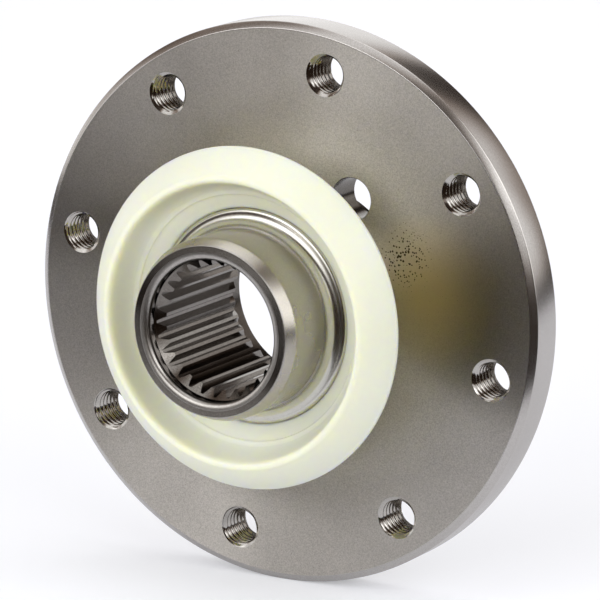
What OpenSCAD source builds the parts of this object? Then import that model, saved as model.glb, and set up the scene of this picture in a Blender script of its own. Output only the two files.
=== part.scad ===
// Pinion companion flange: a splined hub on a bolted flange, with its dust deflector.
// The axle pinion fits the bore from the hub side and the driveshaft bolts to the flat side.
// Frame: Y is the pinion axis, the hub points to -Y and Z is up.
// The origin is on the axis, in the face that the driveshaft sits on.

/* [Flange] */
// Outer diameter of the flange
flange_d = 150; // [144:1:170]
// Thickness of the flange between its two faces
flange_t = 12; // [10.5:0.5:15]
// Width of the bevel round the hub-side edge, seen from the front
rim_bevel_w = 1.7; // [0.8:0.1:2.4]
// Depth of that bevel along the axis
rim_bevel_t = 1.3; // [0.6:0.1:2.4]
// Bevel round the driveshaft-side edge
back_bevel = 0.8; // [0.3:0.1:1.5]

/* [Bolt Holes] */
// Distance of the tapped holes' centres from the rim
bolt_inset = 11.5; // [9:0.5:14]
// Number of tapped holes
bolt_count = 8; // [4:1:8]
// Diameter of a tapped hole at the bottom of its thread
bolt_hole_d = 11.1; // [9:0.1:12.5]
// Bevel at each mouth of a tapped hole
bolt_mouth = 0.25; // [0.1:0.05:0.6]
// Angle of the first tapped hole, from +X towards +Z
bolt_start = 33.2; // [22.5:0.1:40]

/* [Tool Holes] */
// Clearance of the two plain holes from the pilot, or from the boss if that is wider
tool_gap = 0.85; // [0.5:0.05:4]
// Diameter of a plain hole
tool_hole_d = 11.5; // [8:0.5:11.5]
// Angle of the first plain hole, from +X towards +Z
tool_start = 55.5; // [50:0.5:60]

/* [Hub] */
// Length of the hub ahead of the flange face
hub_l = 37; // [36:0.5:44]
// Diameter that the pinion seal runs on
journal_d = 48; // [47.5:0.1:49]
// Step out from the journal to the collar that the steel ring is pressed on
collar_step = 0.3; // [0.1:0.05:0.6]
// How far that collar reaches past the ring's upright edge
collar_reach = 0.3; // [0.1:0.05:1.5]
// Height of the boss above the flange face
boss_h = 14; // [13:0.5:15.5]
// Fillet where the boss meets the flange
boss_fillet = 7; // [5:0.25:7.5]
// Length of the lead-in taper on the nose
nose_l = 3.6; // [2.5:0.1:4.5]
// Width of the lead-in taper, measured on the radius
nose_w = 1.5; // [0.8:0.1:1.6]
// Clearance of the seat in the nose round the tooth spaces
nose_seat_gap = 0.5; // [0.4:0.1:0.8]
// Depth of the seat in the nose, to the start of the teeth
nose_bore_l = 3.6; // [2.8:0.1:5]
// Width of the rounded mouth of that seat
nose_round = 1.8; // [1:0.1:1.9]

/* [Spline] */
// Number of teeth
spline_teeth = 29; // [27:1:31]
// Diameter across the bottoms of the tooth spaces
spline_major_d = 36.4; // [36:0.1:36.8]
// Height of the teeth
tooth_h = 1.85; // [1.7:0.05:2]
// Angle of the middle of one tooth space, from +X towards +Z
spline_start = 205.5; // [199:0.5:212]

/* [Driveshaft Side] */
// Diameter of the raised pilot that centres the driveshaft
pilot_d = 60.3; // [56:0.1:60.5]
// Height of the pilot above the driveshaft face
pilot_h = 4; // [2:0.25:5]
// Diameter of the recess for the pinion nut and its washer
recess_d = 44.5; // [42:0.1:47]
// Depth of the recess below the end of the pilot
recess_l = 10.3; // [8:0.1:11]

/* [Deflector] */
// Outside diameter of the nylon dust deflector
deflector_d = 90.6; // [86:0.2:96]
// Diameter of the crest of its raised lip
lip_d = 75.2; // [73:0.2:77]
// Height of the crest above the flange face
lip_h = 26.7; // [25.5:0.1:28]
// Height of the outer edge above the flange face
skirt_h = 19.4; // [18:0.1:20.5]
// Width of the flat between the steel ring and the step inside the cup
step_w = 3.9; // [3.4:0.1:4.4]
// Rise of that flat
step_h = 2.3; // [1.9:0.1:2.7]
// Wall thickness of the moulding
deflector_t = 2.2; // [1.6:0.1:2.4]
// Gap between the foot of its sleeve and the fillet of the boss
sleeve_gap = 0.5; // [0.2:0.1:2]
// Gap between pressed parts, on the radius
press_gap = 0.04; // [0.02:0.01:0.1]

/* [Steel Ring] */
// Width of the ring, and of the shoulder of the boss that it sits on
ring_w = 4.3; // [3.8:0.1:5]
// Height of the upright edge that hugs the collar, above the boss
ring_h = 5.1; // [4.5:0.1:5.5]
// Height of the ring's face above the boss
ring_face_h = 2.2; // [1.8:0.1:2.8]
// Hollow fillet between that face and the upright edge
ring_fillet = 2.9; // [2:0.1:3.5]
// Drop of the rounded outer edge of the face
ring_round_h = 0.7; // [0.3:0.05:1]
// Height of the deflector's inner edge above the boss
ring_edge_h = 2; // [1.5:0.1:2.5]

/* [Hidden] */
$fn = 144;
eps = 0.01;

// Heights along the axis, counted from the driveshaft face towards the hub
face_z = flange_t;
boss_z = flange_t + boss_h;
nose_z = flange_t + hub_l;
seat_z = nose_z - nose_bore_l;
floor_z = recess_l - pilot_h;
collar_z = boss_z + ring_h + collar_reach;

// Radii that several features share
rim_r = flange_d / 2;
pilot_r = pilot_d / 2;
recess_r = recess_d / 2;
journal_r = journal_d / 2;
collar_r = journal_r + collar_step;
boss_r = collar_r + ring_w;
major_r = spline_major_d / 2;
minor_r = major_r - tooth_h;
seat_r = major_r + nose_seat_gap;
mouth_w = min(nose_round, journal_r - nose_w - seat_r - 0.3);
bolt_circle_d = flange_d - 2 * bolt_inset;
tool_circle_d = 2 * (max(pilot_r, boss_r) + tool_gap) + tool_hole_d;

// Involute of the tooth flanks: 30 degree pressure angle, pitch circle midway up the teeth
pressure = 30;
pitch_r = (minor_r + major_r) / 2;
base_r = pitch_r * cos(pressure);
// Involute function of an angle, in degrees
function inv(a) = tan(a) * 180 / PI - a;
// Half the angle of a tooth space at radius r
function half_space(r) = 90 / spline_teeth + inv(pressure) - inv(acos(base_r / r));
// Point at radius r and angle a
function polar(r, a) = [r * cos(a), r * sin(a)];
// Points of an arc round a centre, from angle a to angle b
function arc(c, r, a, b, n) = [for (i = [0:n]) c + polar(r, a + (b - a) * i / n)];
// Points of a smooth curve from p to q that leaves and arrives along the lines to m
function bend(p, m, q, n) = [for (i = [0:n]) let (t = i / n)
    (1 - t) * (1 - t) * p + 2 * t * (1 - t) * m + t * t * q];

// Turns a part built up along Z so that its top points along -Y
module along_axis() {
    rotate([90, 0, 0]) children();
}

// Puts copies round the axis
module ring_of(count, circle_d, start) {
    for (i = [0:count - 1])
        rotate([0, 0, start + i * 360 / count])
            translate([circle_d / 2, 0, 0]) children();
}

// Half section of the turned forging, without its holes
module forging_section() {
    polygon(concat(
        [[recess_r + 0.5, -pilot_h]],
        [[pilot_r - 0.8, -pilot_h], [pilot_r, -pilot_h + 0.8], [pilot_r, 0]],
        [[rim_r - back_bevel, 0], [rim_r, back_bevel]],
        [[rim_r, face_z - rim_bevel_t], [rim_r - rim_bevel_w, face_z]],
        arc([boss_r + boss_fillet, face_z + boss_fillet], boss_fillet, 270, 180, 16),
        [[boss_r, boss_z - 0.4], [boss_r - 0.4, boss_z]],
        [[collar_r, boss_z], [collar_r, collar_z - 0.2], [journal_r, collar_z]],
        [[journal_r, nose_z - nose_l]],
        [[journal_r - nose_w, nose_z]],
        bend([seat_r + mouth_w, nose_z], [seat_r + 0.4, nose_z], [seat_r, nose_z - 1.1], 6),
        [[seat_r, seat_z], [minor_r, seat_z - (seat_r - minor_r)]],
        [[minor_r, floor_z + (major_r + 0.4 - minor_r)], [major_r + 0.4, floor_z]],
        [[recess_r, floor_z], [recess_r, -pilot_h + 0.5]]
    ));
}

// Tooth spaces as one star: each space has two involute flanks and a narrow bottom
module spline_star() {
    steps = 4;
    radii = [for (i = [0:steps]) minor_r - 0.05 + (major_r - minor_r + 0.05) * i / steps];
    space = concat(
        [for (r = radii) [r, -half_space(r)]],
        [for (i = [0:steps]) let (r = radii[steps - i]) [r, half_space(r)]]
    );
    polygon([for (k = [0:spline_teeth - 1]) for (p = space)
        polar(p[0], p[1] + spline_start + k * 360 / spline_teeth)]);
}

// The tooth spaces, cut to a cone at each end as the chamfer tool leaves them
module spline_cut() {
    intersection() {
        translate([0, 0, floor_z - 1])
            linear_extrude(seat_z - floor_z + 2) spline_star();
        rotate_extrude() polygon([
            [0, floor_z - 1],
            [seat_r - 0.1, floor_z - 1],
            [seat_r - 0.1, seat_z + 1],
            [0, seat_z + 1]
        ]);
    }
}

// Bore through a face, with a small bevel at both mouths
module bevelled_hole(d, mouth, low, high) {
    translate([0, 0, low - 1]) cylinder(d = d, h = high - low + 2);
    translate([0, 0, low - eps])
        cylinder(d1 = d + 2 * mouth + 2 * eps, d2 = d, h = mouth + eps);
    translate([0, 0, high - mouth])
        cylinder(d1 = d, d2 = d + 2 * mouth + 2 * eps, h = mouth + eps);
}

// One-piece forging: bolted flange, pilot, boss, seal journal and splined bore
module companion_flange() {
    color("#8f8d88") along_axis() difference() {
        rotate_extrude() forging_section();
        spline_cut();
        ring_of(bolt_count, bolt_circle_d, bolt_start)
            bevelled_hole(bolt_hole_d, bolt_mouth, 0, face_z);
        ring_of(2, tool_circle_d, tool_start)
            translate([0, 0, -1]) cylinder(d = tool_hole_d, h = boss_z);
    }
}

// Half section of the moulding: sleeve, cupped front, rounded lip and sloping skirt
module deflector_section() {
    bore = boss_r + press_gap;
    t = deflector_t;
    lip = [lip_d / 2, face_z + lip_h];
    edge = [deflector_d / 2, face_z + skirt_h];
    skirt = edge - lip;
    front = [bore, boss_z + ring_edge_h];
    step = front + [step_w, step_h];
    foot = face_z + boss_fillet + sleeve_gap;
    polygon(concat(
        [[bore, foot + 0.5], [bore, front[1]], step, step + [0.15, 0.45]],
        bend(step + [0.15, 0.45], [lip[0] - 2.2, step[1] + 2.4], lip - [1, 1.1], 8),
        bend(lip - [1, 1.1], lip - [0.6, 0], lip, 4),
        bend(lip, lip + [0.9, 0], lip + [1.5, -0.8], 4),
        bend(lip + [1.5, -0.8], lip + [0.68 * skirt[0], 0.58 * skirt[1]], edge + [-0.5, 0.4], 8),
        [edge, edge - [0, 0.9], edge - [0.9, 1.3]],
        bend(edge - [0.9, 1.3], lip + [0.55 * skirt[0], 0.58 * skirt[1] - t], lip + [0.4, -1.5 - t], 6),
        bend(lip + [0.4, -1.5 - t], [lip[0] - 2.6 + t, step[1] + 0.6], [bore + t + 1.6, step[1] - t], 8),
        [[bore + t, front[1] - 1.5], [bore + t, foot], [bore + 0.5, foot]]
    ));
}

// Nylon dust deflector, pressed over the boss
module dust_deflector() {
    color("#e9ead2") along_axis() rotate_extrude() deflector_section();
}

// Half section of the ring: upright edge, hollow fillet, and a face with a rounded edge
module ring_section() {
    bore = collar_r + press_gap;
    edge = bore + 0.1;
    outer = boss_r - 0.02;
    face = boss_z + ring_face_h;
    hollow = min(ring_fillet, ring_h - ring_face_h, ring_w - 1);
    run = outer - edge - hollow;
    round_r = (run * run + ring_round_h * ring_round_h) / (2 * ring_round_h);
    polygon(concat(
        [[bore, boss_z + 0.02], [outer - 0.4, boss_z + 0.02], [outer, boss_z + 0.42]],
        arc([outer - run, face - round_r], round_r, 90 - asin(run / round_r), 90, 8),
        arc([edge + hollow, face + hollow], hollow, 270, 180, 12),
        [[edge, boss_z + ring_h], [bore, boss_z + ring_h]]
    ));
}

// Polished steel ring at the foot of the journal, holding the deflector on its boss
module retaining_ring() {
    color("#c9c9c6") along_axis() rotate_extrude() ring_section();
}

companion_flange();
dust_deflector();
retaining_ring();
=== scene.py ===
"""Pinion companion flange with its nylon dust deflector and polished steel ring.

Sizes are in millimetres, as on the drawing of the part. A point is held as (x, y, h):
h runs along the pinion axis from the driveshaft face towards the hub, x and y lie
across it. Angles are in degrees, from x towards y.
"""
import math

import bmesh
import bpy
import numpy as np
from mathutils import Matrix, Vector


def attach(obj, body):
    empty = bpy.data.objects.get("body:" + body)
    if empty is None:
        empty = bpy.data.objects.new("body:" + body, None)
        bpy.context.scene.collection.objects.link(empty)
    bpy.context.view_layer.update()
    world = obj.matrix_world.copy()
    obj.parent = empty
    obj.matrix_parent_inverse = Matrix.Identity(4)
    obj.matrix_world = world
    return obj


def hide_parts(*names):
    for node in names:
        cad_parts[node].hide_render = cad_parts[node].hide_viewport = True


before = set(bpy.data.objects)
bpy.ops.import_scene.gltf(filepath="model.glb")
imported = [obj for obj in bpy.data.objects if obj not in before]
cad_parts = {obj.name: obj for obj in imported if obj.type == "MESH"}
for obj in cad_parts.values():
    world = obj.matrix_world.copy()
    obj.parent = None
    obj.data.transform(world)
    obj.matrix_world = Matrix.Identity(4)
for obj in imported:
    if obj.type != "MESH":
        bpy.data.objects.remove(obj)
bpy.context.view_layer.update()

# Flange and the driveshaft side
RIM_R = 75.0
FACE_H = 12.0
RIM_BEVEL_W, RIM_BEVEL_H = 1.7, 1.3
BACK_BEVEL = 0.8
PILOT_R, PILOT_H = 30.15, -4.0
PILOT_BEVEL = 0.8
RECESS_R, RECESS_FLOOR_H = 22.25, 6.3
RECESS_BEVEL = 0.5
EDGE_BREAK = 0.15

# Where the front and the back face end and the rim's own strip begins
FACE_END_R, BACK_END_R = 73.1, 74.0

# Tapped holes, with a 7/16 inch thread of 14 turns to the inch
BOLTS = 8
BOLT_CIRCLE_R = 63.5
BOLT_START = 33.2
THREAD_R = 5.55
THREAD_PITCH = 25.4 / 14
THREAD_DEPTH = 0.92
MOUTH_R = 5.66
MOUTH_SLOPE = 1.5

# Plain holes, in a band of the face that ends BAND_W beyond the boss fillet
TOOL_CIRCLE_R = 36.75
TOOL_START = 55.5
TOOL_R = 5.75
BAND_W = 14.4

# Hub and nose
BOSS_R, BOSS_H = 28.6, 26.0
FILLET = 7.0
COLLAR_R, COLLAR_H = 24.3, 31.4
JOURNAL_R = 24.0
TAPER_H = 45.4
NOSE_TIP = (22.7, 48.52)
NOSE_H = 49.0
SEAT_R, SEAT_TOP_H, SEAT_H = 18.7, 47.9, 45.4

# Internal spline
TEETH = 29
PRESSURE_ANGLE = math.radians(30)
MINOR_R, MAJOR_R = 16.35, 18.2
SPACE_MIDDLE = 205.5

# Pieces pressed on the hub
PRESS_GAP = 0.04
DEFLECTOR_T = 2.2
LIP = np.array([37.6, 38.7])
SKIRT_EDGE = np.array([45.3, 31.4])
CUP_STEP = np.array([BOSS_R + PRESS_GAP + 3.9, 30.3])
RING_FILLET = 2.9
RING_FACE_H, RING_TOP_H = 28.2, 31.1
RING_DROP = 0.7

# The turned surfaces share one ring of angles: 8 columns for each of the 29 teeth,
# which is also 29 columns for each of the 8 tapped holes.
TOOTH_COLUMNS = 8
COLUMNS = TOOTH_COLUMNS * TEETH
COLUMN = 360 / COLUMNS
FIRST_ANGLE = BOLT_START - 180 / BOLTS
ANGLES = FIRST_ANGLE + 360.0 * np.arange(COLUMNS + 1) / COLUMNS

# A plain hole's patch starts at this column and is so many columns wide.
TOOL_COLUMN, TOOL_COLUMNS = 18, 22


# Shapes

def eased(corners, cut, steps=3):
    """Breaks the corners of an open profile.

    Each inner corner P becomes the parabola from a point `cut` before it to a point
    `cut` after it, with P as its control point. Where a side is short, the cut is
    at most 0.4 of that side.
    """
    corners = np.asarray(corners, float)
    out = [corners[:1]]
    for before, corner, after in zip(corners[:-2], corners[1:-1], corners[2:]):
        back, ahead = before - corner, after - corner
        start = corner + back * min(0.4, cut / np.linalg.norm(back))
        end = corner + ahead * min(0.4, cut / np.linalg.norm(ahead))
        out.append(bend(start, corner, end, steps))
    out.append(corners[-1:])
    return np.concatenate(out)


def bend(p, m, q, steps):
    """Parabola (1 - t)^2 p + 2 t (1 - t) m + t^2 q: it leaves p and reaches q along m."""
    p, m, q = (np.asarray(v, float) for v in (p, m, q))
    t = np.linspace(0, 1, steps + 1)[:, None]
    return (1 - t) ** 2 * p + 2 * t * (1 - t) * m + t ** 2 * q


def round_axis(r, angle, h):
    """Points (r cos angle, r sin angle, h)."""
    a = np.radians(angle)
    return np.stack(np.broadcast_arrays(r * np.cos(a), r * np.sin(a), h), axis=-1)


def turned(profile, angles):
    """Profile (r, h) carried round the axis: row by row along it, column by angle."""
    return round_axis(profile[:, :1], angles, profile[:, 1:])


def front_face(s):
    """Turned front of the flange at distance s beyond the end of the boss fillet.

    For s >= 0 the face is flat. For s < 0 it is the fillet, and -s is the arc length:
    with t = -s / FILLET, r = r0 - FILLET sin t and h = FACE_H + FILLET (1 - cos t).
    """
    t = np.clip(-s / FILLET, 0, math.pi / 2)
    r = BOSS_R + FILLET + np.maximum(s, 0) - FILLET * np.sin(t)
    return r, FACE_H + FILLET * (1 - np.cos(t))


def front_distance(r):
    """Inverse of front_face: the distance s at which the front has radius r."""
    end = BOSS_R + FILLET
    t = np.arcsin(np.clip((end - r) / FILLET, 0, 1))
    return np.where(r < end, -FILLET * t, r - end)


def back_face(s):
    """Flat driveshaft side: the distance is the radius and h is zero."""
    return s, 0 * s


def back_distance(r):
    """Inverse of back_face."""
    return r


def holed_patch(side, s_range, a_range, cells, hole_at, hole_r, levels=9):
    """Patch of a turned face between two radii and two angles, with a round hole in it.

    A side is the face as a function of distance, and its inverse. The outline runs
    once round the patch, and the circle once round the hole with as many points.
    Level t of the grid lies at (1 - t) circle + t outline, both given as (s, angle),
    and the face turns that into a point. Returns the grid and the angles beta of the
    circle's points, seen from the hole's centre.
    """
    surface, distance = side
    across, along = cells
    s = np.linspace(*s_range, along + 1)
    a = np.linspace(*a_range, across + 1)
    outline = np.concatenate([
        np.stack([np.full(across, s[0]), a[:-1]], 1),
        np.stack([s[:-1], np.full(along, a[-1])], 1),
        np.stack([np.full(across, s[-1]), a[:0:-1]], 1),
        np.stack([s[::-1], np.full(along + 1, a[0])], 1),
    ])
    count = 2 * (across + along)
    beta = math.pi + 2 * math.pi * (across / 2 - np.arange(count + 1)) / count
    centre_r, centre_a = hole_at
    radial = centre_r + hole_r * np.cos(beta)
    sideways = hole_r * np.sin(beta)
    circle = np.stack([
        distance(np.hypot(radial, sideways)),
        centre_a + np.degrees(np.arctan2(sideways, radial)),
    ], 1)
    # The levels crowd towards the hole, where the cells are smallest.
    t = (np.linspace(0, 1, levels) ** 1.4)[:, None, None]
    grid = (1 - t) * circle + t * outline
    r, h = surface(grid[..., 0])
    return round_axis(r, grid[..., 1], h), beta


def hole_frame(hole_at, r, beta, h):
    """Points at radius r and angle beta round a hole's own axis, at height h."""
    centre_r, centre_a = hole_at
    c, s = math.cos(math.radians(centre_a)), math.sin(math.radians(centre_a))
    radial = centre_r + r * np.cos(beta)
    sideways = r * np.sin(beta)
    x, y = radial * c - sideways * s, radial * s + sideways * c
    return np.stack(np.broadcast_arrays(x, y, h), axis=-1)


def tapped_wall(hole_at, beta, rows_a_turn=10):
    """Wall of a tapped hole from the front mouth to the back mouth.

    Rows follow the helix: row w at angle beta lies at h = pitch (w + turns), where turns
    is how far beta has gone round, clipped to the flange. The radius is the 60 degree
    thread: the trapezoid wave 2.7 |w mod 1 - 1/2| - 0.17 between 0 and 1, times the
    depth. Near a mouth it widens to a steep bevel.
    """
    turns = (beta[0] - beta) / (2 * math.pi)
    rows = np.arange(-rows_a_turn, math.ceil(FACE_H / THREAD_PITCH * rows_a_turn) + 1)
    w = rows[::-1, None] / rows_a_turn
    h = np.clip(THREAD_PITCH * (w + turns), 0, FACE_H)
    wave = np.clip(2.7 * np.abs((w % 1.0) - 0.5) - 0.17, 0, 1)
    bevel = MOUTH_R - MOUTH_SLOPE * np.minimum(h, FACE_H - h)
    return hole_frame(hole_at, np.maximum(THREAD_R - THREAD_DEPTH * wave, bevel), beta, h)


def plain_wall(hole_at, beta, mouth):
    """Wall of a plain hole: straight down from the front mouth, both edges broken."""
    start = hole_frame(hole_at, TOOL_R + EDGE_BREAK, beta, mouth[:, 2])
    t = np.linspace(0, 1, 5)[:, None]
    h = (1 - t) * (mouth[:, 2] - EDGE_BREAK) + t * EDGE_BREAK
    wall = hole_frame(hole_at, TOOL_R, beta, h)
    end = hole_frame(hole_at, TOOL_R + EDGE_BREAK, beta, 0 * beta)
    return np.concatenate([start[None], wall, end[None]])


def tooth_columns():
    """Angle and radius of the spline's columns, eight to a tooth space.

    Half a space at radius r spans 90/N + inv(30) - inv(acos(base / r)) degrees, the
    involute flank of a 30 degree spline with the pitch circle midway up the teeth.
    """
    pitch_r = (MINOR_R + MAJOR_R) / 2
    base = pitch_r * math.cos(PRESSURE_ANGLE)
    # One column lies about midway up each flank.
    middle_r = pitch_r + 0.05

    def inv(angle):
        return np.degrees(np.tan(angle) - angle)

    def half(r):
        return 90 / TEETH + inv(PRESSURE_ANGLE) - inv(math.acos(base / r))

    step = 360 / TEETH
    offset = np.array([-step / 2, -half(MINOR_R), -half(middle_r), -half(MAJOR_R), 0,
                       half(MAJOR_R), half(middle_r), half(MINOR_R)])
    radius = np.array([MINOR_R, MINOR_R, middle_r, MAJOR_R,
                       MAJOR_R, MAJOR_R, middle_r, MINOR_R])
    eighth = np.floor((ANGLES - SPACE_MIDDLE) / step * TOOTH_COLUMNS + 0.5).astype(int)
    space, place = np.divmod(eighth + TOOTH_COLUMNS // 2, TOOTH_COLUMNS)
    return SPACE_MIDDLE + space * step + offset[place], radius[place]


def splined_bore():
    """Bore from the nose seat to the nut's recess.

    A column comes down the chamfer cone until the cone meets the tooth at that column's
    radius, runs straight along the tooth, and leaves down the other cone.
    """
    angle, radius = tooth_columns()
    cone_end_r = MAJOR_R + 0.4
    seat = round_axis(SEAT_R, angle, SEAT_H + 0.2)
    t = np.linspace(0, 1, 4)[:, None]
    top_r = (1 - t) * SEAT_R + t * radius
    top = round_axis(top_r, angle, SEAT_H - (SEAT_R - top_r))
    low_r = (1 - t) * radius + t * cone_end_r
    low = round_axis(low_r, angle, RECESS_FLOOR_H + cone_end_r - low_r)
    floor = round_axis(RECESS_R - 0.3, angle, RECESS_FLOOR_H)
    t = np.linspace(0, 1, 9)[1:-1, None]
    wall = round_axis(radius, angle, (1 - t) * top[-1, :, 2] + t * low[0, :, 2])
    return np.concatenate([seat[None], top, wall, low, floor[None]])


def weld(name, patches, crease=32):
    """Joins grids into one closed mesh and puts it in the row frame.

    Each patch is a grid of points and the number of its finish. Every cell becomes two
    triangles, points closer than 0.0005 mm become one, and triangles with two equal
    corners go. A point (x, y, h) lands at (x, -h, y) / 1000, in metres. Edges sharper
    than the crease angle stay sharp.
    """
    points, faces, finish, start = [], [], [], 0
    for grid, number in patches:
        rows, columns = grid.shape[:2]
        index = start + np.arange(rows * columns).reshape(rows, columns)
        a, b, c, d = index[:-1, :-1], index[:-1, 1:], index[1:, 1:], index[1:, :-1]
        cells = np.concatenate([np.stack([a, b, c], -1).reshape(-1, 3),
                                np.stack([a, c, d], -1).reshape(-1, 3)])
        points.append(grid.reshape(-1, 3))
        faces.append(cells)
        finish.append(np.full(len(cells), number))
        start += rows * columns
    points, faces, finish = (np.concatenate(v) for v in (points, faces, finish))
    _, first, same = np.unique(np.round(points / 0.0005).astype(np.int64), axis=0,
                               return_index=True, return_inverse=True)
    points, faces = points[first], same.reshape(-1)[faces]
    keep = ((faces[:, 0] != faces[:, 1]) & (faces[:, 1] != faces[:, 2])
            & (faces[:, 2] != faces[:, 0]))
    faces, finish = faces[keep], finish[keep]
    placed = np.stack([points[:, 0], -points[:, 2], points[:, 1]], -1) / 1000
    mesh = bpy.data.meshes.new(name)
    mesh.from_pydata(placed, [], faces)
    mesh.polygons.foreach_set("material_index", finish.astype(np.int32))
    edit = bmesh.new()
    edit.from_mesh(mesh)
    bmesh.ops.recalc_face_normals(edit, faces=edit.faces)
    open_edges = sum(1 for edge in edit.edges if len(edge.link_faces) != 2)
    edit.to_mesh(mesh)
    edit.free()
    mesh.shade_smooth()
    mesh.set_sharp_from_angle(angle=math.radians(crease))
    piece = bpy.data.objects.new(name, mesh)
    bpy.context.scene.collection.objects.link(piece)
    print(name, len(faces), "triangles,", open_edges, "open edges")
    return piece


# Finishes

def linear(hex_colour):
    """sRGB hex to linear RGBA: c/12.92 below 0.04045, else ((c + 0.055)/1.055)^2.4."""
    srgb = [int(hex_colour[i:i + 2], 16) / 255 for i in (1, 3, 5)]
    return [c / 12.92 if c <= 0.04045 else ((c + 0.055) / 1.055) ** 2.4 for c in srgb] + [1]


def add(tree, kind, settings=None, **links):
    """Adds a node. Settings are its attributes, or its sockets by name or number.

    A link's name is the socket it goes to, with _ for a space or _0 for number 0, and
    its value is an output socket, or a plain value to set there. A colour mix has its
    two colours at sockets 6 and 7 and its result at output 2.
    """
    node = tree.nodes.new(kind)
    for key, value in (settings or {}).items():
        if isinstance(key, int) or key in node.inputs:
            node.inputs[key].default_value = value
        else:
            setattr(node, key, value)
    for key, value in links.items():
        tail = key.strip("_")
        socket = node.inputs[int(tail) if tail.isdigit() else key.replace("_", " ")]
        if isinstance(value, bpy.types.NodeSocket):
            tree.links.new(value, socket)
        else:
            socket.default_value = value
    return node


def new_finish(name, **values):
    """Material with a shader, its uniform values set on it, and its output joined.

    A value's name is the shader's socket, with _ for a space. Returns the material,
    its tree and the shader.
    """
    material = bpy.data.materials.new(name)
    material.use_nodes = True
    tree = material.node_tree
    tree.nodes.clear()
    shader = add(tree, "ShaderNodeBsdfPrincipled", **values)
    add(tree, "ShaderNodeOutputMaterial", Surface=shader.outputs[0])
    return material, tree, shader


def painted_reflection_and_specks(tree, place, shade):
    """Marks beside the deflector on the face: a painted reflection and dirt. Returns the new
    shade.

    The straw-coloured tint is painted reflection of the nylon's warm glow in the steel,
    and it fades out 21 mm from its place. Depth counts three times there, so that it
    stays on the face. The dirt is a cluster of specks in cells of 0.8 mm, thickest at
    its place and sparse 10 mm away.
    """
    reflection_at, dirt_at = Vector((0.044, -0.012, 0.0083)), Vector((0.0365, -0.012, 0.0165))
    # Painted reflection: a straw tint that stands in for the nylon's glow mirrored in the face
    stretch = Vector((1, 3, 1))
    deep = add(tree, "ShaderNodeVectorMath",
               {"operation": "MULTIPLY", 1: stretch}, _0=place)
    beside = add(tree, "ShaderNodeVectorMath",
                 {"operation": "DISTANCE", 1: reflection_at * stretch}, _0=deep.outputs[0])
    painted_reflection = add(tree, "ShaderNodeMapRange",
               {"From Min": 0.004, "From Max": 0.021, "To Min": 0.85, "To Max": 0.0},
               Value=beside.outputs["Value"])
    away = add(tree, "ShaderNodeVectorMath", {"operation": "DISTANCE", 1: dirt_at}, _0=place)
    thick = add(tree, "ShaderNodeMapRange",
                {"From Min": 0.002, "From Max": 0.01, "To Min": 0.4, "To Max": 0.07},
                Value=away.outputs["Value"])
    spot = add(tree, "ShaderNodeTexVoronoi", {"Scale": 1000 / 0.8}, Vector=place)
    speck = add(tree, "ShaderNodeMath", {"operation": "LESS_THAN"},
                _0=spot.outputs["Distance"], _1=thick.outputs[0])
    # The straw tint is painted reflection; the dark specks are dirt
    for cover, mark_colour in ((painted_reflection, "#dcc9a0"), (speck, "#4a4034")):
        shade = add(tree, "ShaderNodeMix", {"data_type": "RGBA", 7: linear(mark_colour)},
                    Factor=cover.outputs[0], _6=shade).outputs[2]
    return shade


def steel_finish(name, colours, roughness, marks, grain, marks_run="round", radial=0.0,
                 with_reflection_and_specks=False):
    """Machined steel: marks left by the tool, a fine grain over them, and a slow tint.

    Colours are the light and the dark tint. Marks and grain are each a spacing and a
    depth in millimetres. The real ones are 0.05 to 0.2 mm apart, too fine to show, so
    they are drawn coarser. Marks are a noise of the radius where the tool ran round,
    and of the length where it ran along. Radial is how far the marks stretch a
    highlight across them, so that it fans out from the axis.
    """
    material, tree, shader = new_finish(name, Metallic=1.0, Anisotropic=radial)
    place = add(tree, "ShaderNodeTexCoord").outputs["Object"]
    across = add(tree, "ShaderNodeVectorMath",
                 {"operation": "MULTIPLY", 1: (1, 0, 1)}, _0=place).outputs[0]
    if marks_run == "round":
        run = add(tree, "ShaderNodeVectorMath", {"operation": "LENGTH"},
                  _0=across).outputs["Value"]
    else:
        run = add(tree, "ShaderNodeSeparateXYZ", _0=place).outputs["Y"]
    rings = add(tree, "ShaderNodeTexNoise",
                {"noise_dimensions": "1D", "Scale": 1000 / marks[0], "Detail": 2.0}, W=run)
    fine = add(tree, "ShaderNodeTexNoise",
               {"Scale": 1000 / grain[0], "Detail": 2.0, "Roughness": 0.6}, Vector=place)
    # Clouds of about 26 mm, so that a turned face is never one flat tone
    slow = add(tree, "ShaderNodeTexNoise", {"Scale": 38.0, "Detail": 3.0}, Vector=place)
    ringed = add(tree, "ShaderNodeBump", {"Strength": 1.0, "Distance": marks[1] / 1000},
                 Height=rings.outputs["Fac"])
    grained = add(tree, "ShaderNodeBump", {"Strength": 1.0, "Distance": grain[1] / 1000},
                  Height=fine.outputs["Fac"], Normal=ringed.outputs[0])
    mottle = add(tree, "ShaderNodeMath", {"operation": "MULTIPLY_ADD", 1: 0.4},
                 _0=slow.outputs["Fac"], _2=fine.outputs["Fac"])
    spread = add(tree, "ShaderNodeMapRange", {"From Min": 0.45, "From Max": 0.95},
                 Value=mottle.outputs[0])
    light, dark = (linear(colour) for colour in colours)
    shade = add(tree, "ShaderNodeMix", {"data_type": "RGBA", 6: dark, 7: light},
                Factor=spread.outputs[0]).outputs[2]
    dull = add(tree, "ShaderNodeMapRange",
               {"From Min": 0.3, "From Max": 0.7,
                "To Min": roughness * 0.94, "To Max": roughness * 1.06},
               Value=slow.outputs["Fac"])
    # Painted reflection of the nylon and real dirt specks, beside the deflector
    if with_reflection_and_specks:
        shade = painted_reflection_and_specks(tree, place, shade)
    if radial:
        outward = add(tree, "ShaderNodeVectorMath", {"operation": "NORMALIZE"}, _0=across)
        tree.links.new(outward.outputs[0], shader.inputs["Tangent"])
    for source, socket in ((shade, "Base Color"), (dull.outputs[0], "Roughness"),
                           (grained.outputs[0], "Normal")):
        tree.links.new(source, shader.inputs[socket])
    return material


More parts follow.
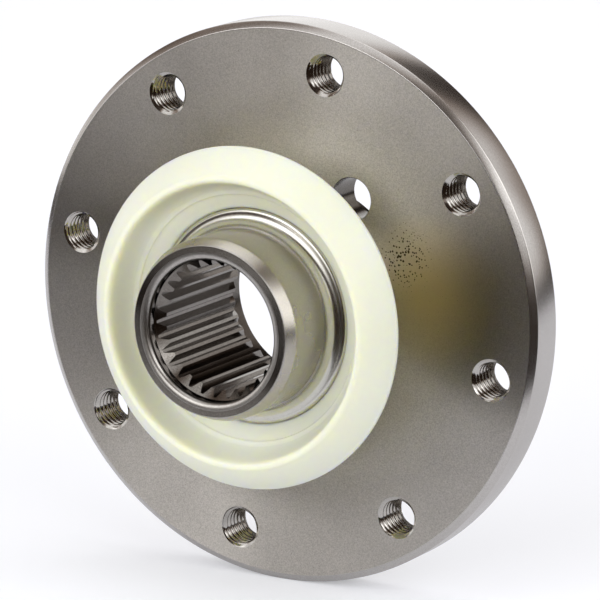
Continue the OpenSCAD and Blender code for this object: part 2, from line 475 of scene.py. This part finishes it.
def nylon_finish():
    """Natural nylon 66, injection moulded: creamy, slightly see-through, satin.

    Clouds of 22 mm change its tone a little, and a skin of 0.7 mm keeps its highlights
    soft. Light goes some millimetres deep, least of all the blue, so thin walls glow
    warm.
    """
    material, tree, shader = new_finish(
        "moulded natural nylon", Roughness=0.45, IOR=1.53, Subsurface_Weight=1.0,
        Subsurface_Radius=(1.0, 0.85, 0.12), Subsurface_Scale=0.005)
    place = add(tree, "ShaderNodeTexCoord").outputs["Object"]
    cloud = add(tree, "ShaderNodeTexNoise", {"Scale": 45.0, "Detail": 3.0}, Vector=place)
    skin = add(tree, "ShaderNodeTexNoise", {"Scale": 1400.0, "Detail": 2.0}, Vector=place)
    tint = add(tree, "ShaderNodeMix",
               {"data_type": "RGBA", 6: linear("#dfe1d0"), 7: linear("#e4e6d8")},
               Factor=cloud.outputs["Fac"])
    bump = add(tree, "ShaderNodeBump", {"Strength": 0.4, "Distance": 0.00003},
               Height=skin.outputs["Fac"])
    tree.links.new(tint.outputs[2], shader.inputs["Base Color"])
    tree.links.new(bump.outputs[0], shader.inputs["Normal"])
    return material


# The forging

FACE, RIM, JOURNAL, NOSE, MOUTH, TEETH_FINISH, THREAD, INSIDE = range(8)


def forging_finishes():
    """Finishes of the forging, in the order of their numbers above."""
    return (
        # Pale rings that fan into a bright and a dark wedge, with a painted reflection of the
        # nylon and dark specks of dirt beside the deflector
        steel_finish("turned steel face", ("#cbc6c0", "#a49f99"), 0.38,
                     (0.55, 0.006), (0.35, 0.004), radial=1.0, with_reflection_and_specks=True),
        # A smooth bright band that shows the room as soft stripes
        steel_finish("ground steel rim", ("#cbc7c4", "#bbb7b3"), 0.22,
                     (0.5, 0.002), (0.4, 0.004), "along"),
        # A satin cylinder, even all round, with the nylon's cream in it
        steel_finish("ground seal journal", ("#beb9b0", "#b0aba2"), 0.28,
                     (0.4, 0.002), (0.4, 0.003), "along", radial=0.3),
        # A narrow dark ring round the bore; its tint, darker than the face's, is painted shade
        steel_finish("turned nose with painted shade", ("#928d87", "#716c66"), 0.23,
                     (0.4, 0.004), (0.3, 0.006), radial=1.0),
        # A thin line of light on each edge of that ring
        steel_finish("rolled nose edge", ("#bcb8b3", "#a5a19c"), 0.3,
                     (0.6, 0.001), (0.5, 0.002)),
        # Glossy flanks with bright edges; their dark tint is painted shade inside the bore
        steel_finish("broached steel with painted shade", ("#98938e", "#6b6661"), 0.15,
                     (0.8, 0.003), (0.3, 0.004), "along"),
        # Bright crests against dark roots
        steel_finish("tapped thread", ("#c9c5c0", "#b1ada8"), 0.12,
                     (0.6, 0.002), (0.3, 0.003), "along"),
        # Walls with tool marks that show; their dark grey tint is painted shade in the holes
        # and the recess
        steel_finish("bored steel with painted shade", ("#77726c", "#5a554f"), 0.2,
                     (0.45, 0.02), (0.4, 0.004), "along"),
    )


def flange_faces():
    """Both faces of the flange and the walls of all its holes, as patches.

    The outer band has a tapped hole in each eighth. The inner band has the plain holes,
    and plain turned strips fill the rest of it.
    """
    front_side, back_side = (front_face, front_distance), (back_face, back_distance)
    front_start, back_start = -FILLET * math.pi / 2, PILOT_R + EDGE_BREAK
    band_end_r = BOSS_R + FILLET + BAND_W
    front_end = FACE_END_R - BOSS_R - FILLET
    patches = []
    for number in range(BOLTS):
        middle = BOLT_START + 360 / BOLTS * number
        at = (BOLT_CIRCLE_R, middle)
        span = (middle - 180 / BOLTS, middle + 180 / BOLTS)
        cells = (COLUMNS // BOLTS, 9)
        front, beta = holed_patch(front_side, (BAND_W, front_end), span, cells, at, MOUTH_R)
        back, _ = holed_patch(back_side, (band_end_r, BACK_END_R), span, cells, at, MOUTH_R)
        patches += [(front, FACE), (back, FACE), (tapped_wall(at, beta), THREAD)]
    cells = (TOOL_COLUMNS, 14)
    front_s = np.linspace(front_start, BAND_W, cells[1] + 1)
    back_s = np.linspace(back_start, band_end_r, cells[1] + 1)
    for turn in (0, 180):
        first = FIRST_ANGLE + TOOL_COLUMN * COLUMN + turn
        at, mouth_r = (TOOL_CIRCLE_R, TOOL_START + turn), TOOL_R + EDGE_BREAK
        span = (first, first + TOOL_COLUMNS * COLUMN)
        front, beta = holed_patch(front_side, (front_start, BAND_W), span, cells, at, mouth_r)
        back, _ = holed_patch(back_side, (back_start, band_end_r), span, cells, at, mouth_r)
        rest = first + np.arange(TOOL_COLUMNS, COLUMNS // 2 + 1) * COLUMN
        patches += [(front, FACE), (back, FACE), (plain_wall(at, beta, front[0]), INSIDE),
                    (turned(np.stack(front_face(front_s), -1), rest), FACE),
                    (turned(np.stack(back_face(back_s), -1), rest), FACE)]
    return patches


def forging():
    """One closed skin: the holed faces, the turned outside, and the splined bore."""
    collar_end = COLLAR_H + 0.3
    rim = eased([(FACE_END_R, FACE_H), (RIM_R - RIM_BEVEL_W, FACE_H),
                 (RIM_R, FACE_H - RIM_BEVEL_H), (RIM_R, BACK_BEVEL),
                 (RIM_R - BACK_BEVEL, 0), (BACK_END_R, 0)], 0.18)
    boss = eased([(BOSS_R, FACE_H + FILLET), (BOSS_R, BOSS_H - 0.4), (BOSS_R - 0.4, BOSS_H),
                  (COLLAR_R, BOSS_H), (COLLAR_R, COLLAR_H - 0.2), (JOURNAL_R, COLLAR_H),
                  (JOURNAL_R, collar_end)], 0.12)
    # Rings between its ends keep the journal's triangles short.
    journal = eased([(JOURNAL_R, h) for h in (collar_end, 34, 37, 41, TAPER_H)]
                    + [NOSE_TIP], 0.5)
    # The nose's end face runs in from radius 22.3 to 20.75 and rolls over to the seat.
    outer_edge = eased([NOSE_TIP, (22.5, NOSE_H), (22.3, NOSE_H)], 0.12)
    nose = np.array([(r, NOSE_H) for r in (22.3, 21.7, 21.1, 20.75)])
    inner_edge = np.concatenate([nose[-1:], bend((20.5, NOSE_H), (19.1, NOSE_H),
                                                 (SEAT_R, SEAT_TOP_H), 8)])
    seat = np.array([(SEAT_R, h) for h in (SEAT_TOP_H, 47.0, 46.2)])
    recess = eased([(RECESS_R - 0.3, RECESS_FLOOR_H), (RECESS_R, RECESS_FLOOR_H),
                    (RECESS_R, PILOT_H + RECESS_BEVEL), (RECESS_R + RECESS_BEVEL, PILOT_H),
                    (PILOT_R - PILOT_BEVEL, PILOT_H), (PILOT_R, PILOT_H + PILOT_BEVEL),
                    (PILOT_R, 0), (PILOT_R + EDGE_BREAK, 0)], 0.15)
    patches = flange_faces() + [
        (turned(profile, ANGLES), finish) for profile, finish in (
            (rim, RIM), (boss, FACE), (journal, JOURNAL), (outer_edge, MOUTH),
            (nose, NOSE), (inner_edge, MOUTH), (seat, TEETH_FINISH))]
    # The bore's columns differ from the ring's, so its ends are joined row to row.
    bore = splined_bore()
    patches += [(np.concatenate([turned(seat[-1:], ANGLES), bore]), TEETH_FINISH),
                (np.concatenate([bore[-1:], turned(recess[1:], ANGLES)]), INSIDE)]
    piece = weld("flange_forging", patches)
    for finish in forging_finishes():
        piece.data.materials.append(finish)
    return piece


def deflector():
    """Moulded section turned about the axis: sleeve, cupped front, lip and skirt.

    The section goes once round the wall, from corner to corner with broken edges, or
    from curve to curve by parabolas that leave and arrive along the same lines.
    """
    bore, wall, foot = BOSS_R + PRESS_GAP, DEFLECTOR_T, FACE_H + FILLET + 0.5
    cup_start, cup_end, crest_end = CUP_STEP + [1.2, 0.95], LIP - [1, 1.1], LIP + [1.5, -0.8]
    skirt_end, under_start = SKIRT_EDGE + [-0.5, 0.4], SKIRT_EDGE - [0.9, 1.3]
    sleeve_top, neck = 28.0, 26.5
    web_start = LIP + [0.4, -1.5 - wall]
    web_end = (bore + wall + 1.6, CUP_STEP[1] - wall)
    profile = np.concatenate([
        eased([(bore, foot + 0.5), (bore, sleeve_top), CUP_STEP, CUP_STEP + [0.15, 0.45],
               cup_start], 0.8, 4),
        bend(cup_start, (LIP[0] - 2.2, CUP_STEP[1] + 2.6), cup_end, 14)[1:],
        bend(cup_end, LIP - [0.6, 0], LIP, 6)[1:],
        bend(LIP, LIP + [0.9, 0], crest_end, 6)[1:],
        bend(crest_end, LIP + [5.24, -4.23], skirt_end, 14)[1:],
        eased([skirt_end, SKIRT_EDGE, SKIRT_EDGE - [0, 0.9], under_start], 0.25, 4)[1:],
        bend(under_start, LIP + [4.24, -4.23 - wall], web_start, 10)[1:],
        bend(web_start, (LIP[0] - 2.6 + wall, CUP_STEP[1] + 0.6), web_end, 10)[1:],
        eased([web_end, (bore + wall, neck), (bore + wall, foot), (bore + 0.5, foot),
               (bore, foot + 0.5)], 0.3, 4)[1:],
    ])
    piece = weld("dust_deflector_moulding",
                 [(turned(profile, np.linspace(0, 360, 289)), 0)], crease=45)
    piece.data.materials.append(nylon_finish())
    return piece


def ring():
    """Turned section: upright edge, hollow fillet, and a face with a rounded edge.

    The fillet is a quarter circle that meets the upright edge and the face without a
    break. The rounded edge is an arc that leaves the face the same way and has dropped
    0.7 mm where it meets the outside.
    """
    bore, outer, base = COLLAR_R + PRESS_GAP, BOSS_R - 0.02, BOSS_H + 0.02
    edge = bore + 0.1
    run = outer - edge - RING_FILLET
    radius = (run ** 2 + RING_DROP ** 2) / (2 * RING_DROP)

    def arc(centre, r, start, end, count):
        a = np.radians(np.linspace(start, end, count))[:, None]
        return centre + r * np.concatenate([np.cos(a), np.sin(a)], 1)

    fillet = arc((edge + RING_FILLET, RING_FACE_H + RING_FILLET), RING_FILLET, 180, 270, 25)
    rounded = arc((outer - run, RING_FACE_H - radius), radius,
                  90, 90 - math.degrees(math.asin(run / radius)), 15)
    under = eased([rounded[-1], (outer, base + 0.4), (outer - 0.4, base), (bore, base),
                   (bore, RING_TOP_H), fillet[0]], 0.04)
    profile = np.concatenate([fillet, rounded[1:], under[1:]])
    piece = weld("polished_ring", [(turned(profile, np.linspace(0, 360, 257)), 0)])
    # Close to a mirror: one bright streak and one dark one run round it
    piece.data.materials.append(steel_finish(
        "polished steel", ("#d7d5ce", "#c9c7c0"), 0.21, (0.8, 0.001), (0.4, 0.0015)))
    return piece


for piece, node, slot, finish in (
    (forging(), "companion_flange", "machined_steel", "turned steel face"),
    (deflector(), "dust_deflector", "nylon", "moulded natural nylon"),
    (ring(), "retaining_ring", "polished_steel", "polished steel"),
):
    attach(piece, "root")
    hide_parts(node)
    node_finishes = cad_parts[node].data.materials
    node_finishes.clear()
    node_finishes.append(bpy.data.materials[finish])


# Floor, light and camera

def sheet(name, corners, material):
    """Flat sheet of the studio, through four corners in metres. Returns it."""
    mesh = bpy.data.meshes.new(name)
    mesh.from_pydata(corners, [], [(0, 1, 2, 3)])
    mesh.materials.append(material)
    piece = bpy.data.objects.new(name, mesh)
    bpy.context.scene.collection.objects.link(piece)
    return piece


def mirror_or_glass(tree, path):
    """1 on a ray that a mirror or glass sends out, else 0."""
    return add(tree, "ShaderNodeMath", {"operation": "ADD"},
               _0=path.outputs["Is Glossy Ray"],
               _1=path.outputs["Is Transmission Ray"]).outputs[0]


def paper():
    """Matt white paper, lifted a little for the camera and less for metal and glass.

    So it shows white, as the sweep behind does, and only the shadow darkens it. It
    gives the part no light of its own.
    """
    material, tree, shader = new_finish(
        "matt white paper", Base_Color=linear("#dcdee4"), Roughness=1.0,
        Specular_IOR_Level=0.0, Emission_Color=(1, 1, 1, 1))
    path = add(tree, "ShaderNodeLightPath")
    shown = add(tree, "ShaderNodeMath", {"operation": "MULTIPLY_ADD", 1: 0.2},
                _0=mirror_or_glass(tree, path), _2=path.outputs["Is Camera Ray"])
    lift = add(tree, "ShaderNodeMath", {"operation": "MULTIPLY", 1: 0.27}, _0=shown.outputs[0])
    tree.links.new(lift.outputs[0], shader.inputs["Emission Strength"])
    return material


def soft_box(name, place, watts, width=0.6):
    """Square soft light at a place, facing the part, that metal doesn't mirror."""
    light = bpy.data.lights.new(name, "AREA")
    light.shape = "SQUARE"
    light.size, light.energy = width, watts
    lamp = bpy.data.objects.new(name, light)
    lamp.location = place
    lamp.rotation_euler = (-Vector(place)).to_track_quat("-Z", "Y").to_euler()
    lamp.visible_glossy = False
    bpy.context.scene.collection.objects.link(lamp)


def room():
    """White sweep behind the part and soft panels in a dim room.

    The camera sees plain white, and so do mirror and glass rays that leave to the
    sweep. Other rays see the room by their direction. A panel has a middle direction,
    the cosine of the angle at which it starts, and a level. It is full ten degrees from
    its middle. Where panels overlap, their levels add up. Low levels are warm.
    """
    dim, full = 0.05, 0.985
    panels = (
        ((-0.16, -0.93, 0.34), 0.91, 2.16),
        ((0.78, -0.16, 0.60), 0.90, 1.90),
        ((0.88, 0.32, 0.34), 0.91, 1.54),
        ((-0.44, -0.66, 0.60), 0.90, 1.17),
        ((-0.47, 0.81, 0.34), 0.91, 1.16),
        ((0.00, -0.26, 0.97), 0.88, 1.10),
        ((-0.89, 0.45, 0.09), 0.92, 1.09),
        ((0.89, 0.45, 0.09), 0.92, 0.95),
        ((0.00, 0.26, 0.97), 0.88, 0.99),
        ((-0.72, -0.60, 0.34), 0.91, 0.81),
        ((0.71, -0.64, 0.31), 0.96, 0.90),
        ((-0.55, 0.15, 0.82), 0.89, 0.75),
        ((0.66, -0.44, 0.60), 0.92, 1.00),
        ((-0.98, -0.16, 0.09), 0.92, 0.67),
        ((0.70, 0.70, 0.09), 0.92, 0.65),
        ((-0.15, 0.55, 0.82), 0.89, 0.62),
        ((0.44, 0.66, 0.60), 0.90, 0.51),
        ((-0.70, 0.70, 0.09), 0.92, 0.43),
        ((0.47, 0.81, 0.34), 0.91, 0.42),
        ((-0.85, -0.49, 0.17), 0.75, 0.39),
    )
    world = bpy.data.worlds.new("studio")
    world.use_nodes = True
    tree = world.node_tree
    tree.nodes.clear()
    way = add(tree, "ShaderNodeTexCoord").outputs["Generated"]

    def soft_spot(middle, start, strength):
        """Level of one spot: it eases in from its start to full, by the cosine."""
        cosine = add(tree, "ShaderNodeVectorMath",
                     {"operation": "DOT_PRODUCT", 1: Vector(middle).normalized()}, _0=way)
        return add(tree, "ShaderNodeMapRange",
                   {"interpolation_type": "SMOOTHSTEP", "From Min": start,
                    "From Max": full, "To Max": strength},
                   Value=cosine.outputs["Value"]).outputs[0]

    level = dim
    for panel in panels:
        level = add(tree, "ShaderNodeMath", {"operation": "ADD"},
                    _0=soft_spot(*panel), _1=level).outputs[0]
    warmth = add(tree, "ShaderNodeMix",
                 {"data_type": "RGBA", 6: linear("#cfa27c"), 7: (1, 1, 1, 1)}, Factor=level)
    around = add(tree, "ShaderNodeBackground", Color=warmth.outputs[2], Strength=level)
    path = add(tree, "ShaderNodeLightPath")
    white = add(tree, "ShaderNodeMath", {"operation": "MULTIPLY_ADD", "use_clamp": True},
                _0=mirror_or_glass(tree, path), _1=soft_spot((-0.6, 0.8, 0.0), 0.9, 0.5),
                _2=path.outputs["Is Camera Ray"])
    seen = add(tree, "ShaderNodeBackground", {"Color": (1, 1, 1, 1), "Strength": 1.0})
    mixed = add(tree, "ShaderNodeMixShader", _0=white.outputs[0],
                _1=around.outputs[0], _2=seen.outputs[0])
    add(tree, "ShaderNodeOutputWorld", Surface=mixed.outputs[0])
    bpy.context.scene.world = world


def studio():
    """White paper under and behind the part, black felt round it, and two soft boxes.

    The felt is there for the metal to mirror. The camera looks past it to the white.
    """
    floor = -RIM_R / 1000
    away, right = np.array([-0.5, 0.866]), np.array([0.866, 0.5])

    def corners(near, far, start, end, height):
        return [(*(away * a + right * b), height)
                for a, b in ((near, start), (near, end), (far, end), (far, start))]

    sheet("paper_sweep", corners(-0.15, 3.0, -0.5, 0.6, floor), paper())
    # Felt has no highlight at all, so it is a plain soft dark in the metal.
    felt, _, _ = new_finish("black felt", Base_Color=linear("#261d16"), Roughness=1.0,
                            Specular_IOR_Level=0.0)
    flag = [(-0.1, 0.85, 0.42), (0.17, 0.85, 0.42), (0.17, 0.85, 0.8), (-0.1, 0.85, 0.8)]
    ground = corners(-3.0, 3.0, -3.0, 3.0, floor - 0.001)
    for name, place in (("felt_ground", ground), ("felt_flag", flag)):
        sheet(name, place, felt).visible_camera = False
    soft_box("key", (1.1, -0.75, 0.28), 3.6)
    soft_box("fill", (-0.1, -1.4, 0.1), 10)


def camera():
    """Long lens at the photograph's place: 30 degrees round and 13 degrees up."""
    data = bpy.data.cameras.new("camera")
    data.sensor_width = 36.0
    data.lens = 284.5
    view = bpy.data.objects.new("camera", data)
    place, aim = Vector((0.61358, -1.05984, 0.27279)), Vector((-0.00097, -0.00082, -0.001))
    view.location = place
    view.rotation_euler = (aim - place).to_track_quat("-Z", "Y").to_euler()
    bpy.context.scene.collection.objects.link(view)
    bpy.context.scene.camera = view


room()
studio()
camera()
bpy.context.scene.view_settings.view_transform = "Standard"
